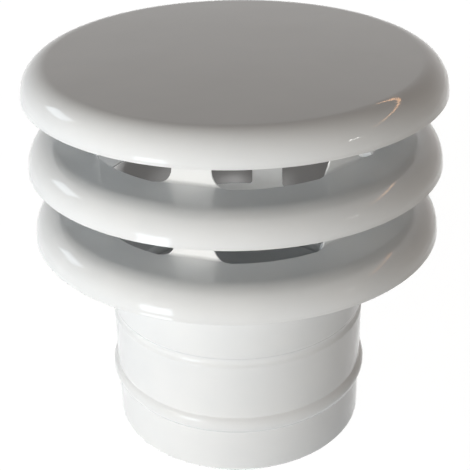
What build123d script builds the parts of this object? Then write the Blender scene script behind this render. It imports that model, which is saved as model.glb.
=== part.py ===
from build123d import *
from math import hypot, sqrt
import os

# A static flue terminal in white enamelled sheet steel: a socket tube carries a stack of
# upside-down pressed dishes, and the gas leaves between them.
# Millimetres. Z = 0 is the socket's mouth, +Z is up the flue, and the axis is Z.

# Sheet
SHEET = 0.8                 # thickness of every wall, with its enamel
BEND = 1.2                  # inside radius of every bend

# Socket tube
SOCKET_BORE = 110.4         # inside diameter, slips over a 110 mm flue pipe
SOCKET_HEIGHT = 83.5        # mouth to the top edge between the legs
BEAD_HEIGHT = 24.3          # mouth to the middle of the outward bead
BEAD_WIDTH = 7.2
BEAD_RISE = 1.9
STOP_HEIGHT = 56.0          # mouth to the middle of the inward groove that stops the pipe
STOP_WIDTH = 5.0
STOP_DEPTH = 1.1
ROLL_BLEND = 1.2            # radius where the bead and the groove run into the wall

# Legs left standing at the tube's top edge
LEG_COUNT = 3
LEG_WIDTH = 14.8
LEG_FILLET = 2.0            # lower corners of the windows between the legs
LEG_FIRST_ANGLE = 60.0      # degrees from +X, in line with a tab of the rings

# Pressed dishes
HOLE_CLEARANCE = 6.0        # outside of the tube to the edge of the rings' centre hole
PLATE_OVERHANG = 24.0       # edge of that hole to the outside of the rim
PLATE_DEPTH = 12.0          # rim to the top of the flat
RIM_SKIRT = 0.6             # upright stretch between the rounded shoulder and the cut edge
LOWER_GAP = 11.2            # top edge of the tube to the lowest rim
PLATE_PITCH = 31.0          # rim to rim

# Tabs bent up from the edge of each ring's hole
TAB_COUNT = 6
TAB_WIDTH = 15.4
ROOT_FILLET = 7.0           # where a tab's edge flares into the hole's edge
FOOT_LENGTH = 11.0          # turned-out end of a tab or a leg
FOOT_CORNER = 2.5           # rounded corners of that end

# Worked out from the sizes above
BORE_RADIUS = SOCKET_BORE / 2
TUBE_RADIUS = BORE_RADIUS + SHEET
LEG_FOOT_END = TUBE_RADIUS + FOOT_LENGTH
HOLE_RADIUS = TUBE_RADIUS + HOLE_CLEARANCE
PLATE_RADIUS = HOLE_RADIUS + PLATE_OVERHANG
ROOT_HALF_WIDTH = TAB_WIDTH / 2 + ROOT_FILLET
BEND_LINE = sqrt(HOLE_RADIUS**2 - ROOT_HALF_WIDTH**2)   # axis to where a tab starts to bend
TAB_FACE = BEND_LINE - BEND                             # axis to a tab's outer face
TAB_FOOT_END = TAB_FACE + FOOT_LENGTH
LOWER_RIM = SOCKET_HEIGHT + LOWER_GAP
MIDDLE_RIM = LOWER_RIM + PLATE_PITCH
CAP_RIM = MIDDLE_RIM + PLATE_PITCH
CUT_MARGIN = 5.0                                        # how far cutting shapes run past the metal
SAME_PLACE = 0.001                                      # points nearer than this are one point


def underside(rim):
    """Height of the flat's lower face on the dish whose rim is at this height."""
    return rim + PLATE_DEPTH - SHEET


def dish(rim, hole_radius):
    """A pressed dish: flat top, quarter-round shoulder, short skirt and a rounded cut edge."""
    top = PLATE_DEPTH
    bottom = PLATE_DEPTH - SHEET
    edge = SHEET / 2
    skirt_top = edge + RIM_SKIRT
    flat_radius = PLATE_RADIUS - (top - skirt_top)
    inner_radius = PLATE_RADIUS - SHEET
    with BuildPart() as made:
        with BuildSketch(Plane.XZ.shift_origin((0, 0, rim))):
            with BuildLine():
                Line((flat_radius, bottom), (hole_radius, bottom))
                Line((hole_radius, bottom), (hole_radius, top))
                Line((hole_radius, top), (flat_radius, top))
                TangentArc((flat_radius, top), (PLATE_RADIUS, skirt_top), tangent=(1, 0))
                Line((PLATE_RADIUS, skirt_top), (PLATE_RADIUS, edge))
                TangentArc((PLATE_RADIUS, edge), (inner_radius, edge), tangent=(0, -1))
                Line((inner_radius, edge), (inner_radius, skirt_top))
                TangentArc((inner_radius, skirt_top), (flat_radius, bottom), tangent=(0, 1))
            make_face()
        revolve(axis=Axis.Z)
    return made.part


def flared_strip(width, root_fillet, root, top):
    """Front outline of a tab or a leg on +X: a strip that flares into the sheet at its root."""
    with BuildSketch(Plane.YZ) as outline:
        with Locations((0, (root + top) / 2)):
            Rectangle(width, top - root)
        with Locations((0, root - CUT_MARGIN / 2)):
            Rectangle(width + 4 * root_fillet, CUT_MARGIN)
        root_corners = outline.vertices().group_by(Axis.Y)[1].sort_by(Axis.X)[1:-1]
        fillet(root_corners, radius=root_fillet)
    return outline.sketch


def round_foot(solid, foot_end):
    """Round the two outer corners of each turned-out foot."""
    corners = [
        edge
        for edge in solid.edges().filter_by(Axis.Z)
        if hypot(edge.center().X, edge.center().Y) > foot_end - FOOT_CORNER
    ]
    return fillet(corners, radius=FOOT_CORNER)


def tab(rim):
    """One tab on +X: up from the ring's flat, then out as a foot under the dish above."""
    floor_top = rim + PLATE_DEPTH
    floor_bottom = underside(rim)
    foot_top = underside(rim + PLATE_PITCH)
    foot_bottom = foot_top - SHEET
    inner_face = TAB_FACE - SHEET
    root_end = HOLE_RADIUS + CUT_MARGIN
    with BuildSketch(Plane.XZ) as section:
        with BuildLine():
            Polyline(
                (root_end, floor_bottom),
                (inner_face, floor_bottom),
                (inner_face, foot_top),
                (TAB_FOOT_END, foot_top),
                (TAB_FOOT_END, foot_bottom),
                (TAB_FACE, foot_bottom),
                (TAB_FACE, floor_top),
                (root_end, floor_top),
                close=True,
            )
        make_face()
        fillet(section.vertices().group_by(Axis.X)[0], radius=BEND + SHEET)
        fillet(section.vertices().filter_by_position(Axis.X, TAB_FACE, TAB_FACE), radius=BEND)
    strip = extrude(section.sketch, amount=ROOT_HALF_WIDTH, both=True)
    outline = flared_strip(TAB_WIDTH, ROOT_FILLET, floor_bottom, foot_top + CUT_MARGIN)
    upright = strip & extrude(outline, amount=TAB_FOOT_END + CUT_MARGIN)
    root = Box(
        root_end - BEND_LINE,
        2 * ROOT_HALF_WIDTH,
        SHEET,
        align=(Align.MIN, Align.CENTER, Align.MIN),
    ).moved(Location((BEND_LINE, 0, floor_bottom)))
    return round_foot(upright, TAB_FOOT_END) + root


def ring(rim):
    """A dish with a centre hole and a circle of tabs that carry the dish above."""
    return dish(rim, HOLE_RADIUS) + PolarLocations(0, TAB_COUNT) * tab(rim)


def tube_wall():
    """The tube all round, with its bead and groove, and its top end turned out as a flange."""
    foot_top = underside(LOWER_RIM)
    foot_bottom = foot_top - SHEET
    rolls = [(BEAD_HEIGHT, BEAD_WIDTH, BEAD_RISE), (STOP_HEIGHT, STOP_WIDTH, -STOP_DEPTH)]
    with BuildPart() as made:
        with BuildSketch(Plane.XZ) as section:
            with BuildLine():
                for radius, top in ((BORE_RADIUS, foot_top), (TUBE_RADIUS, foot_bottom)):
                    start = (radius, 0)
                    for middle, width, bulge in rolls:
                        low = (radius, middle - width / 2)
                        high = (radius, middle + width / 2)
                        Line(start, low)
                        ThreePointArc(low, (radius + bulge, middle), high)
                        start = high
                    Polyline(start, (radius, top), (LEG_FOOT_END, top))
                Line((BORE_RADIUS, 0), (TUBE_RADIUS, 0))
                Line((LEG_FOOT_END, foot_bottom), (LEG_FOOT_END, foot_top))
            make_face()
            roll_ends = [
                vertex
                for vertex in section.vertices()
                for middle, width, bulge in rolls
                if abs(abs(vertex.Y - middle) - width / 2) < SAME_PLACE
            ]
            fillet(roll_ends, radius=ROLL_BLEND)
            for radius, bend in ((BORE_RADIUS, BEND + SHEET), (TUBE_RADIUS, BEND)):
                wall_points = section.vertices().filter_by_position(Axis.X, radius, radius)
                fillet(wall_points.sort_by(Axis.Y)[-1], radius=bend)
        revolve(axis=Axis.Z)
    return made.part


def socket_tube():
    """The tube, cut away above its top edge so that only the legs and their feet stand."""
    cut_top = underside(LOWER_RIM) + CUT_MARGIN
    outline = flared_strip(LEG_WIDTH, LEG_FILLET, SOCKET_HEIGHT, cut_top + CUT_MARGIN)
    leg = extrude(outline, amount=LEG_FOOT_END + 2 * CUT_MARGIN)
    legs = PolarLocations(0, LEG_COUNT, start_angle=LEG_FIRST_ANGLE) * leg
    above = Cylinder(
        LEG_FOOT_END + CUT_MARGIN,
        cut_top - SOCKET_HEIGHT,
        align=(Align.CENTER, Align.CENTER, Align.MIN),
    ).moved(Location((0, 0, SOCKET_HEIGHT)))
    return round_foot(tube_wall() - (above - legs), LEG_FOOT_END)


def main():
    os.makedirs("parts", exist_ok=True)
    nodes = {
        "cap": dish(CAP_RIM, 0),
        "middle_ring": ring(MIDDLE_RIM),
        "lower_ring": ring(LOWER_RIM),
        "socket_tube": socket_tube(),
    }
    for name, solid in nodes.items():
        export_step(solid, f"parts/{name}.step")


main()
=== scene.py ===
from math import asin, cos, pi, radians, sin, sqrt

import bmesh
import bpy
from mathutils import Matrix, Vector


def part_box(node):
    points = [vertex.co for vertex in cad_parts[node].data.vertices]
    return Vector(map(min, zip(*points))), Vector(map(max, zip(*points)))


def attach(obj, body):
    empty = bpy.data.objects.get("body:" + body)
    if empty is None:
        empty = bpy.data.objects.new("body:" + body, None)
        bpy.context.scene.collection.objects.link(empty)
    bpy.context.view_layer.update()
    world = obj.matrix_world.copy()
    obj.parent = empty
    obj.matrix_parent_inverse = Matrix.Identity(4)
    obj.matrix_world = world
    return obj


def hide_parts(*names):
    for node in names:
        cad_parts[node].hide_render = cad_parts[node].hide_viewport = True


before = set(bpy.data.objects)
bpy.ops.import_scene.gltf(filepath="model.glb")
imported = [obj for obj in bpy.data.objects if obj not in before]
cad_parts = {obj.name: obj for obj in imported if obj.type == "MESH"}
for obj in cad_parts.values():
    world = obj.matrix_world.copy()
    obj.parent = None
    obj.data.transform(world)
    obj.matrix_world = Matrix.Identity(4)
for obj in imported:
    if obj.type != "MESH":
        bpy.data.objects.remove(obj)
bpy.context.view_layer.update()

MM = 0.001

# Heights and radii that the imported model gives, in metres
CAP_LOW, CAP_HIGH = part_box("cap")
TUBE_LOW, TUBE_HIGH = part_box("socket_tube")
PLATE_RADIUS = (CAP_HIGH[1] - CAP_LOW[1]) / 2
PLATE_DEPTH = CAP_HIGH[2] - CAP_LOW[2]
CAP_RIM = CAP_LOW[2]
MIDDLE_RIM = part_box("middle_ring")[0][2]
LOWER_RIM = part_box("lower_ring")[0][2]
MOUTH = TUBE_LOW[2]
PLATE_PITCH = CAP_RIM - MIDDLE_RIM

# Sheet-metal sizes, as on the solids
SHEET = 0.8 * MM
BEND = 1.2 * MM
RIM_SKIRT = 0.6 * MM
BORE_RADIUS = 55.2 * MM
SOCKET_HEIGHT = 83.5 * MM
BEAD_HEIGHT = 24.3 * MM
BEAD_WIDTH = 7.2 * MM
BEAD_RISE = 1.9 * MM
STOP_HEIGHT = 56.0 * MM
STOP_WIDTH = 5.0 * MM
STOP_DEPTH = 1.1 * MM
ROLL_BLEND = 1.2 * MM
LEG_ANGLES = [60, 180, 300]
LEG_WIDTH = 14.8 * MM
LEG_FILLET = 2.0 * MM
HOLE_RADIUS = 62.0 * MM
TAB_ANGLES = [0, 60, 120, 180, 240, 300]
TAB_WIDTH = 15.4 * MM
ROOT_FILLET = 7.0 * MM
FOOT_LENGTH = 11.0 * MM
FOOT_CORNER = 2.5 * MM

# Worked out from those: the middle of the sheet, where the grids are drawn, and the strips' roots
HALF = SHEET / 2
BEND_MID = BEND + HALF
BEND_LENGTH = BEND_MID * pi / 2
FOOT_FLAT = FOOT_LENGTH - BEND
TUBE_MID = BORE_RADIUS + HALF
TUBE_TOP = MOUTH + SOCKET_HEIGHT
TAB_ROOT_HALF = TAB_WIDTH / 2 + ROOT_FILLET
TAB_BEND_LINE = sqrt(HOLE_RADIUS**2 - TAB_ROOT_HALF**2)
LEG_ROOT_HALF = LEG_WIDTH / 2 + LEG_FILLET

# Enamel
EDGE_ROUND = 0.2 * MM       # rounding of every cut edge
RIM_BEAD = 0.22 * MM        # how far enamel that ran down swells each dish's rim
RIM_BEAD_HEIGHT = 1.3 * MM
PALE_TINT = (0.885, 0.89, 0.885, 1)
DEEP_TINT = (0.855, 0.865, 0.865, 1)
ENAMEL_IOR = 1.52
SMOOTHEST = 0.03            # least and greatest roughness
ROUGHEST = 0.08
NOISE_LOW = 0.3             # most of a noise texture lies between these
NOISE_HIGH = 0.7

# Grid fineness: rows beside a cut edge stand further from it than its rounding reaches
GRID_STEP = radians(1.4)    # between columns, away from tabs and legs
STRIP_COLUMNS = 16          # across a tab or a leg
TAB_ROOT_ROWS = 6
LEG_ROOT_ROWS = 4
BEND_ROWS = 7
FLAT_ROWS = 4               # along each straight stretch of a tab or a leg
FOOT_CORNER_ROWS = 3
LEAST_ROW_GAP = 0.05 * MM
SKIRT_ROWS = 2
SHOULDER_ROWS = 54
CAP_FLAT_ROWS = 8
RING_FLAT_ROWS = 5
ROLL_ROWS = 36              # over the bead, and over the groove
ROLL_SPAN = 4.5 * MM        # those rows reach this far from its middle
LOW_WALL_ROWS = 6
WALL_ROWS = 8
ROUND_SEGMENTS = 3
SHARP_ANGLE = radians(50)   # edges that turn by more than this are cut edges

# Camera, from the photograph's perspective
CAMERA_AZIMUTH = radians(-14)
CAMERA_PITCH = radians(28.63)
CAMERA_ROLL = radians(-0.94)
CAMERA_YAW = radians(-0.11)
CAMERA_DISTANCE = 4.612 * PLATE_RADIUS
CAMERA_ABOVE_CAP_RIM = 1.686 * PLATE_RADIUS
FOCAL_PIXELS = 1024.3
IMAGE_PIXELS = 470
SENSOR_MM = 36
NEAR_CLIP = 0.01

# Light
SOFT_WHITE = (1.0, 0.98, 0.945)
SKY_BLUE = (0.82, 0.92, 1.0)
LAMP_ORANGE = (1.0, 0.52, 0.25)
ROOM_LEFT = (0.13, 0.125, 0.115, 1)
ROOM_MIDDLE = (0.030, 0.024, 0.016, 1)
ROOM_RIGHT = (0.022, 0.015, 0.009, 1)
ROOM_REACH = 1.0            # the whole world, whose coordinates are directions

# Floor
FLOOR_RADIUS = 6.0
FLOOR_SEGMENTS = 96
FLOOR_SUN = 33.0
FLOOR_SUN_ANGLE = radians(4.5)
FLOOR_SUN_AZIMUTH = radians(-13.5)
FLOOR_SUN_ELEVATION = radians(27)
FLOOR_COLOUR = (0.2, 0.2, 0.2, 1)
FLOOR_GLOW = 0.07           # share of its white that is there in the shadow too
BOUNCE_LEFT = (0.042, 0.057, 0.075, 1)
BOUNCE_RIGHT = (0.050, 0.045, 0.038, 1)
BOUNCE_REACH = 0.25         # the light that comes back off the floor goes from cool to warm over this
WHITE = (1, 1, 1, 1)


def steps(start, end, count):
    """Evenly spaced values after start, up to and with end."""
    return [start + (end - start) * (i + 1) / count for i in range(count)]


def turned(radius, angle, height):
    return (radius * cos(angle), radius * sin(angle), height)


def thicken(made):
    """Turn a grid into a sheet of the metal's thickness, with its cut edges rounded."""
    thick = made.modifiers.new("thickness", "SOLIDIFY")
    thick.thickness = SHEET
    thick.offset = 0
    thick.use_even_offset = True
    rounded = made.modifiers.new("rounded_edges", "BEVEL")
    rounded.width = EDGE_ROUND
    rounded.segments = ROUND_SEGMENTS
    rounded.limit_method = "ANGLE"
    rounded.angle_limit = SHARP_ANGLE
    made.modifiers.new("even_shading", "WEIGHTED_NORMAL")


class Sheet:
    """A grid of quads along the middle of one piece of sheet metal."""

    def __init__(self):
        self.mesh = bmesh.new()

    def row(self, points):
        return [self.mesh.verts.new(point) for point in points]

    def join(self, low, high, closed):
        count = len(low) if closed else len(low) - 1
        for i in range(count):
            j = (i + 1) % len(low)
            self.mesh.faces.new((low[i], low[j], high[j], high[i]))

    def fan(self, ring, centre):
        middle = self.mesh.verts.new(centre)
        for i in range(len(ring)):
            self.mesh.faces.new((ring[i], ring[(i + 1) % len(ring)], middle))

    def piece(self, name, material):
        """The grid as a thick sheet that stands for the solid of that name."""
        bmesh.ops.recalc_face_normals(self.mesh, faces=self.mesh.faces)
        data = bpy.data.meshes.new(name + "_enamelled")
        self.mesh.to_mesh(data)
        self.mesh.free()
        data.materials.append(material)
        for polygon in data.polygons:
            polygon.use_smooth = True
        made = bpy.data.objects.new(name + "_enamelled", data)
        bpy.context.scene.collection.objects.link(made)
        thicken(made)
        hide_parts(name)
        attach(made, "root")
        return made


class Strip:
    """A tab or a leg on +X: its flat blank, measured along s from the root, and where it is bent to."""

    def __init__(self, width, root_fillet, root_rows, bends, place):
        self.half = width / 2
        self.root_fillet = root_fillet
        self.root_rows = root_rows
        self.bends = bends
        self.place = place
        self.length = bends[-1][1] + FOOT_FLAT

    def half_width(self, s):
        """Half the width at s: flared at the root, rounded at the foot's corners."""
        if s < self.root_fillet:
            return self.half + self.root_fillet - sqrt(self.root_fillet**2 - (self.root_fillet - s) ** 2)
        into_corner = s - (self.length - FOOT_CORNER)
        if into_corner > 0:
            into_corner = min(into_corner, FOOT_CORNER)
            return self.half - FOOT_CORNER + sqrt(FOOT_CORNER**2 - into_corner**2)
        return self.half

    def stations(self):
        """Where the rows lie along s: close in the fillet, the bends and the rounded corners."""
        corner = self.length - FOOT_CORNER
        found = [self.root_fillet * (1 - cos(angle)) for angle in steps(0, pi / 2, self.root_rows)]
        for start, end in self.bends:
            found += [start] + steps(start, end, BEND_ROWS)
        flat_starts = [self.root_fillet] + [end for start, end in self.bends]
        flat_ends = [start for start, end in self.bends] + [corner]
        for start, end in zip(flat_starts, flat_ends):
            if end - start > BEND:
                found += steps(start, end, FLAT_ROWS)
        found += [corner + FOOT_CORNER * sin(angle) for angle in steps(0, pi / 2, FOOT_CORNER_ROWS)]
        kept = []
        for s in sorted(s for s in found if 0 < s <= self.length):
            if not kept or s - kept[-1] > LEAST_ROW_GAP:
                kept.append(s)
        return kept

    def grow(self, sheet, root, centre):
        """Add the strip's rows to a sheet, from the root's points, turned round the axis to centre."""
        turn = Matrix.Rotation(centre, 3, "Z")
        low = root
        for s in self.stations():
            half = self.half_width(s)
            across = [half * (2 * i / STRIP_COLUMNS - 1) for i in range(STRIP_COLUMNS + 1)]
            row = sheet.row([turn @ Vector(self.place(s, y)) for y in across])
            sheet.join(low, row, closed=False)
            low = row


def columns(strip_angles, root_half_width, root_radius):
    """Angles of the grid's columns, and which of them lie in each strip's root."""
    half_angle = asin(root_half_width / root_radius)
    pitch = 2 * pi / len(strip_angles)
    between = max(2, round((pitch - 2 * half_angle) / GRID_STEP))
    angles = []
    roots = []
    for degrees_round in strip_angles:
        centre = radians(degrees_round)
        first = len(angles)
        for i in range(STRIP_COLUMNS + 1):
            across = root_half_width * (2 * i / STRIP_COLUMNS - 1)
            angles.append(centre + asin(across / root_radius))
        roots.append((centre, range(first, len(angles))))
        angles += steps(centre + half_angle, centre + pitch - half_angle, between)[:-1]
    return angles, roots


def rim_swell(up):
    """How far the enamel's bead moves the sheet outward, this high above the cut edge."""
    if up > RIM_BEAD_HEIGHT:
        return 0
    return RIM_BEAD * cos(pi / 2 * up / RIM_BEAD_HEIGHT) ** 2


def dish_profile(rim):
    """Radius and height along the middle of a dish's sheet, from the cut edge to the flat."""
    mid_radius = PLATE_RADIUS - HALF
    skirt_top = HALF + RIM_SKIRT
    shoulder = PLATE_DEPTH - skirt_top - HALF
    profile = [(mid_radius, up) for up in [0] + steps(0, skirt_top, SKIRT_ROWS)]
    for angle in steps(0, pi / 2, SHOULDER_ROWS):
        inward = shoulder * (1 - cos(angle))
        profile.append((mid_radius - inward, skirt_top + shoulder * sin(angle)))
    return [(radius + rim_swell(up), rim + up) for radius, up in profile]


def build_dish_rows(sheet, rim, angles):
    """Rows of a dish's skirt and shoulder. Gives the last row, with its radius and height."""
    below = None
    for radius, height in dish_profile(rim):
        row = sheet.row([turned(radius, angle, height) for angle in angles])
        if below:
            sheet.join(below, row, closed=True)
        below = row
    return below, radius, height


def build_cap(material):
    sheet = Sheet()
    angles, _ = columns(TAB_ANGLES, TAB_ROOT_HALF, HOLE_RADIUS)
    below, radius, height = build_dish_rows(sheet, CAP_RIM, angles)
    for inner in steps(radius, 0, CAP_FLAT_ROWS)[:-1]:
        row = sheet.row([turned(inner, angle, height) for angle in angles])
        sheet.join(below, row, closed=True)
        below = row
    sheet.fan(below, (0, 0, height))
    return sheet.piece("cap", material)


def tab_strip(rim):
    """A ring's tab: bent up from the flat at its root, then out as a foot under the dish above."""
    floor = rim + PLATE_DEPTH - HALF
    foot = rim + PLATE_PITCH + PLATE_DEPTH - SHEET - HALF
    upright = foot - floor - 2 * BEND_MID
    low_bend = (0, BEND_LENGTH)
    high_bend = (BEND_LENGTH + upright, 2 * BEND_LENGTH + upright)

    def place(s, y):
        if s < low_bend[1]:
            angle = s / BEND_MID
            return (TAB_BEND_LINE - BEND_MID * sin(angle), y, floor + BEND_MID * (1 - cos(angle)))
        if s < high_bend[0]:
            return (TAB_BEND_LINE - BEND_MID, y, floor + BEND_MID + s - low_bend[1])
        if s < high_bend[1]:
            angle = (s - high_bend[0]) / BEND_MID
            return (TAB_BEND_LINE - BEND_MID * cos(angle), y, foot - BEND_MID + BEND_MID * sin(angle))
        return (TAB_BEND_LINE + s - high_bend[1], y, foot)

    return Strip(TAB_WIDTH, ROOT_FILLET, TAB_ROOT_ROWS, [low_bend, high_bend], place)


def build_ring(name, rim, material):
    sheet = Sheet()
    angles, roots = columns(TAB_ANGLES, TAB_ROOT_HALF, HOLE_RADIUS)
    below, radius, height = build_dish_rows(sheet, rim, angles)
    edge_radii = [HOLE_RADIUS] * len(angles)
    for centre, root in roots:
        for i in root:
            edge_radii[i] = TAB_BEND_LINE / cos(angles[i] - centre)
    for share in steps(0, 1, RING_FLAT_ROWS):
        row_radii = [radius + (edge - radius) * share for edge in edge_radii]
        row = sheet.row([turned(out, angle, height) for out, angle in zip(row_radii, angles)])
        sheet.join(below, row, closed=True)
        below = row
    tab = tab_strip(rim)
    for centre, root in roots:
        tab.grow(sheet, [below[i] for i in root], centre)
    return sheet.piece(name, material)


def roll(away, width, rise):
    """How far a bead or a groove stands off the wall, this far from its middle: an arc with blends."""
    arc = (width**2 / 4 + rise**2) / (2 * rise)
    blend_middle = sqrt((arc + ROLL_BLEND) ** 2 - (arc + ROLL_BLEND - rise) ** 2)
    if away >= blend_middle:
        return 0
    if away > blend_middle * arc / (arc + ROLL_BLEND):
        return ROLL_BLEND - sqrt(ROLL_BLEND**2 - (blend_middle - away) ** 2)
    return rise - arc + sqrt(arc**2 - away**2)


def wall_radius(height):
    """Middle of the tube's wall at this height: plain, swelled by the bead or drawn in by the groove."""
    bead = roll(abs(height - MOUTH - BEAD_HEIGHT), BEAD_WIDTH, BEAD_RISE)
    groove = roll(abs(height - MOUTH - STOP_HEIGHT), STOP_WIDTH, STOP_DEPTH)
    return TUBE_MID + bead - groove


def tube_heights():
    """Heights of the rows round the tube's wall: close together over the bead and the groove."""
    heights = [MOUTH] + steps(MOUTH, MOUTH + BEAD_HEIGHT - ROLL_SPAN, LOW_WALL_ROWS)
    heights += steps(heights[-1], MOUTH + BEAD_HEIGHT + ROLL_SPAN, ROLL_ROWS)
    heights += steps(heights[-1], MOUTH + STOP_HEIGHT - ROLL_SPAN, WALL_ROWS)
    heights += steps(heights[-1], MOUTH + STOP_HEIGHT + ROLL_SPAN, ROLL_ROWS)
    return heights + steps(heights[-1], TUBE_TOP, WALL_ROWS)


def leg_strip():
    """A leg of the tube: up from the tube's top edge, round with its wall, then out as a foot."""
    foot = TUBE_HIGH[2] - HALF
    upright = foot - BEND_MID - TUBE_TOP
    bend = (upright, upright + BEND_LENGTH)

    def place(s, y):
        radius = TUBE_MID
        up = TUBE_TOP + s
        if s > bend[0]:
            angle = min((s - bend[0]) / BEND_MID, pi / 2)
            radius = TUBE_MID + BEND_MID * (1 - cos(angle)) + max(0, s - bend[1])
            up = foot - BEND_MID + BEND_MID * sin(angle)
        return (sqrt(radius**2 - y**2), y, up)

    return Strip(LEG_WIDTH, LEG_FILLET, LEG_ROOT_ROWS, [bend], place)


def build_tube(material):
    sheet = Sheet()
    angles, roots = columns(LEG_ANGLES, LEG_ROOT_HALF, TUBE_MID)
    below = None
    for height in tube_heights():
        radius = wall_radius(height)
        row = sheet.row([turned(radius, angle, height) for angle in angles])
        if below:
            sheet.join(below, row, closed=True)
        below = row
    leg = leg_strip()
    for centre, root in roots:
        leg.grow(sheet, [below[i] for i in root], centre)
    return sheet.piece("socket_tube", material)


def noise(nodes, links, scale, detail):
    """Noise fixed to the object. The scale is in cells a metre."""
    place = nodes.new("ShaderNodeTexCoord")
    made = nodes.new("ShaderNodeTexNoise")
    made.inputs["Scale"].default_value = scale
    made.inputs["Detail"].default_value = detail
    links.new(place.outputs["Object"], made.inputs["Vector"])
    return made.outputs["Fac"]


def bump(nodes, links, height, strength, distance):
    made = nodes.new("ShaderNodeBump")
    made.inputs["Strength"].default_value = strength
    made.inputs["Distance"].default_value = distance
    links.new(height, made.inputs["Height"])
    return made


def enamel():
    """White gloss enamel on pressed steel: faint waves in the sheet, fine orange peel, uneven gloss."""
    material = bpy.data.materials.new("white_enamel")
    material.use_nodes = True
    nodes = material.node_tree.nodes
    links = material.node_tree.links
    shader = nodes["Principled BSDF"]
    shader.inputs["IOR"].default_value = ENAMEL_IOR

    tint = nodes.new("ShaderNodeValToRGB")
    tint.color_ramp.elements[0].position = NOISE_LOW
    tint.color_ramp.elements[0].color = DEEP_TINT
    tint.color_ramp.elements[1].position = NOISE_HIGH
    tint.color_ramp.elements[1].color = PALE_TINT
    links.new(noise(nodes, links, scale=45, detail=3), tint.inputs["Fac"])
    links.new(tint.outputs["Color"], shader.inputs["Base Color"])

    gloss = nodes.new("ShaderNodeMapRange")
    gloss.inputs["From Min"].default_value = NOISE_LOW
    gloss.inputs["From Max"].default_value = NOISE_HIGH
    gloss.inputs["To Min"].default_value = SMOOTHEST
    gloss.inputs["To Max"].default_value = ROUGHEST
    links.new(noise(nodes, links, scale=120, detail=4), gloss.inputs["Value"])
    links.new(gloss.outputs["Result"], shader.inputs["Roughness"])

    wavy = noise(nodes, links, scale=28, detail=1)
    waves = bump(nodes, links, wavy, strength=0.55, distance=0.4 * MM)
    fine = noise(nodes, links, scale=900, detail=2)
    peel = bump(nodes, links, fine, strength=0.12, distance=0.05 * MM)
    links.new(waves.outputs["Normal"], peel.inputs["Normal"])
    links.new(peel.outputs["Normal"], shader.inputs["Normal"])
    return material


def around(azimuth, distance, height):
    """A point at that azimuth round the axis, where 0 is on the -Y side."""
    return Vector((sin(azimuth) * distance, -cos(azimuth) * distance, height))


def build_camera():
    data = bpy.data.cameras.new("camera")
    data.sensor_width = SENSOR_MM
    data.lens = SENSOR_MM * FOCAL_PIXELS / IMAGE_PIXELS
    data.clip_start = NEAR_CLIP
    camera = bpy.data.objects.new("camera", data)
    bpy.context.scene.collection.objects.link(camera)
    level = -around(CAMERA_AZIMUTH - CAMERA_YAW, 1, 0)
    forward = level * cos(CAMERA_PITCH) - Vector((0, 0, sin(CAMERA_PITCH)))
    right = level.cross(Vector((0, 0, 1)))
    up = right.cross(forward)
    rolled_right = right * cos(CAMERA_ROLL) + up * sin(CAMERA_ROLL)
    rolled_up = up * cos(CAMERA_ROLL) - right * sin(CAMERA_ROLL)
    axes = Matrix((rolled_right, rolled_up, -forward)).transposed()
    spot = around(CAMERA_AZIMUTH, CAMERA_DISTANCE, CAP_RIM + CAMERA_ABOVE_CAP_RIM)
    camera.matrix_world = Matrix.Translation(spot) @ axes.to_4x4()
    bpy.context.scene.camera = camera


def area_lamp(name, azimuth, elevation, distance, width, height, power, colour):
    """A soft box that faces the middle of the object, its azimuth counted from the camera's."""
    data = bpy.data.lights.new(name, "AREA")
    data.shape = "RECTANGLE"
    data.size = width
    data.size_y = height
    data.energy = power
    data.color = colour
    lamp = bpy.data.objects.new(name, data)
    lamp.visible_camera = False
    bpy.context.scene.collection.objects.link(lamp)
    middle = Vector((0, 0, (CAP_HIGH[2] + MOUTH) / 2))
    turn = CAMERA_AZIMUTH + radians(azimuth)
    rise = radians(elevation)
    lamp.location = middle + around(turn, distance * cos(rise), distance * sin(rise))
    lamp.rotation_euler = (lamp.location - middle).to_track_quat("Z", "Y").to_euler()
    return lamp


def build_soft_boxes():
    """Three large boxes that light the object and don't show in its gloss."""
    key = area_lamp(
        "key", azimuth=-52, elevation=4, distance=1.25, width=1.8, height=0.35, power=9.0,
        colour=SOFT_WHITE,
    )
    front = area_lamp(
        "front_fill", azimuth=-18, elevation=4, distance=1.35, width=1.0, height=0.35, power=7.8,
        colour=SOFT_WHITE,
    )
    back = area_lamp(
        "back_fill", azimuth=170, elevation=4, distance=1.4, width=2.0, height=0.35, power=11.0,
        colour=SOFT_WHITE,
    )
    for lamp in (key, front, back):
        lamp.visible_glossy = False


def build_windows():
    """Small boxes and strips that the gloss mirrors. The low one makes highlights and no other light."""
    area_lamp(
        "left_window", azimuth=-109, elevation=27, distance=1.6, width=0.50, height=0.34, power=1.6,
        colour=SKY_BLUE,
    )
    low_window = area_lamp(
        "low_window", azimuth=-37, elevation=-4, distance=0.325, width=0.09, height=0.11, power=0.14,
        colour=SKY_BLUE,
    )
    low_window.visible_diffuse = False
    area_lamp(
        "right_strip", azimuth=62, elevation=21, distance=1.5, width=0.16, height=0.012, power=0.2,
        colour=SOFT_WHITE,
    )
    area_lamp(
        "warm_strip", azimuth=122, elevation=42, distance=1.4, width=1.75, height=0.025, power=0.8,
        colour=LAMP_ORANGE,
    )


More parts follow.
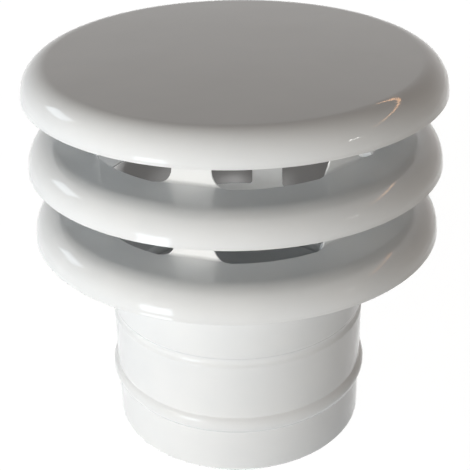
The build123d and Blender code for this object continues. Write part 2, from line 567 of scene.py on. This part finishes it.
def build_floor_sun(floor):
    """A sun from the camera's side that only lights the floor, so the object's shadow falls behind it."""
    data = bpy.data.lights.new("floor_sun", "SUN")
    data.energy = FLOOR_SUN
    data.angle = FLOOR_SUN_ANGLE
    sun = bpy.data.objects.new("floor_sun", data)
    bpy.context.scene.collection.objects.link(sun)
    towards_sun = around(FLOOR_SUN_AZIMUTH, cos(FLOOR_SUN_ELEVATION), sin(FLOOR_SUN_ELEVATION))
    sun.rotation_euler = towards_sun.to_track_quat("Z", "Y").to_euler()
    floor_only = bpy.data.collections.new("floor_only")
    floor_only.objects.link(floor)
    sun.light_linking.receiver_collection = floor_only


def left_to_right(nodes, links, coordinates, reach):
    """A value from 0 to 1 along the photograph's rightward direction, between -reach and reach."""
    place = nodes.new("ShaderNodeTexCoord")
    sideways = nodes.new("ShaderNodeVectorMath")
    sideways.operation = "DOT_PRODUCT"
    sideways.inputs[1].default_value = (cos(CAMERA_AZIMUTH), sin(CAMERA_AZIMUTH), 0)
    spread = nodes.new("ShaderNodeMapRange")
    spread.inputs["From Min"].default_value = -reach
    spread.inputs["From Max"].default_value = reach
    links.new(place.outputs[coordinates], sideways.inputs[0])
    links.new(sideways.outputs["Value"], spread.inputs["Value"])
    return spread.outputs["Result"]


def larger(nodes, links, first, second):
    made = nodes.new("ShaderNodeMath")
    made.operation = "MAXIMUM"
    links.new(first, made.inputs[0])
    links.new(second, made.inputs[1])
    return made.outputs["Value"]


def mix_shaders(nodes, links, first, second):
    made = nodes.new("ShaderNodeMixShader")
    links.new(first, made.inputs[1])
    links.new(second, made.inputs[2])
    return made


def background_rays(nodes, links):
    """1 on the rays that see the background as white: from the camera, a reflection or through glass."""
    path = nodes.new("ShaderNodeLightPath").outputs
    seen = larger(nodes, links, path["Is Camera Ray"], path["Is Glossy Ray"])
    return larger(nodes, links, seen, path["Is Transmission Ray"])


def build_world():
    """A dim room, lighter on the left and browner on the right, that is seen as white."""
    world = bpy.data.worlds.new("studio")
    world.use_nodes = True
    bpy.context.scene.world = world
    nodes = world.node_tree.nodes
    links = world.node_tree.links
    ramp = nodes.new("ShaderNodeValToRGB")
    ramp.color_ramp.elements[0].color = ROOM_LEFT
    ramp.color_ramp.elements[1].color = ROOM_RIGHT
    ramp.color_ramp.elements.new(0.5).color = ROOM_MIDDLE
    room = nodes["Background"]
    backdrop = nodes.new("ShaderNodeBackground")
    backdrop.inputs["Color"].default_value = WHITE
    links.new(left_to_right(nodes, links, "Generated", ROOM_REACH), ramp.inputs["Fac"])
    links.new(ramp.outputs["Color"], room.inputs["Color"])
    whole = mix_shaders(nodes, links, room.outputs["Background"], backdrop.outputs["Background"])
    links.new(background_rays(nodes, links), whole.inputs["Fac"])
    links.new(whole.outputs["Shader"], nodes["World Output"].inputs["Surface"])


def floor_material():
    """A dim floor, cooler on the left, that is seen as white, with the object's shadow on it."""
    material = bpy.data.materials.new("pale_floor")
    material.use_nodes = True
    nodes = material.node_tree.nodes
    links = material.node_tree.links
    nodes.remove(nodes["Principled BSDF"])

    tint = nodes.new("ShaderNodeValToRGB")
    tint.color_ramp.elements[0].color = BOUNCE_LEFT
    tint.color_ramp.elements[1].color = BOUNCE_RIGHT
    bounce = nodes.new("ShaderNodeBsdfDiffuse")
    links.new(left_to_right(nodes, links, "Object", BOUNCE_REACH), tint.inputs["Fac"])
    links.new(tint.outputs["Color"], bounce.inputs["Color"])

    pale = nodes.new("ShaderNodeBsdfDiffuse")
    pale.inputs["Color"].default_value = FLOOR_COLOUR
    glow = nodes.new("ShaderNodeEmission")
    glow.inputs["Color"].default_value = WHITE
    glow.inputs["Strength"].default_value = 1.0
    white = mix_shaders(nodes, links, pale.outputs["BSDF"], glow.outputs["Emission"])
    white.inputs["Fac"].default_value = FLOOR_GLOW

    whole = mix_shaders(nodes, links, bounce.outputs["BSDF"], white.outputs["Shader"])
    links.new(background_rays(nodes, links), whole.inputs["Fac"])
    links.new(whole.outputs["Shader"], nodes["Material Output"].inputs["Surface"])
    return material


def build_floor():
    mesh = bmesh.new()
    bmesh.ops.create_circle(mesh, cap_ends=True, segments=FLOOR_SEGMENTS, radius=FLOOR_RADIUS)
    data = bpy.data.meshes.new("floor")
    mesh.to_mesh(data)
    mesh.free()
    data.materials.append(floor_material())
    floor = bpy.data.objects.new("floor", data)
    floor.location = (0, 0, MOUTH)
    bpy.context.scene.collection.objects.link(floor)
    return floor


white_enamel = enamel()
build_cap(white_enamel)
build_ring("middle_ring", MIDDLE_RIM, white_enamel)
build_ring("lower_ring", LOWER_RIM, white_enamel)
build_tube(white_enamel)
build_camera()
build_soft_boxes()
build_windows()
build_floor_sun(build_floor())
build_world()
bpy.context.scene.view_settings.view_transform = "Standard"
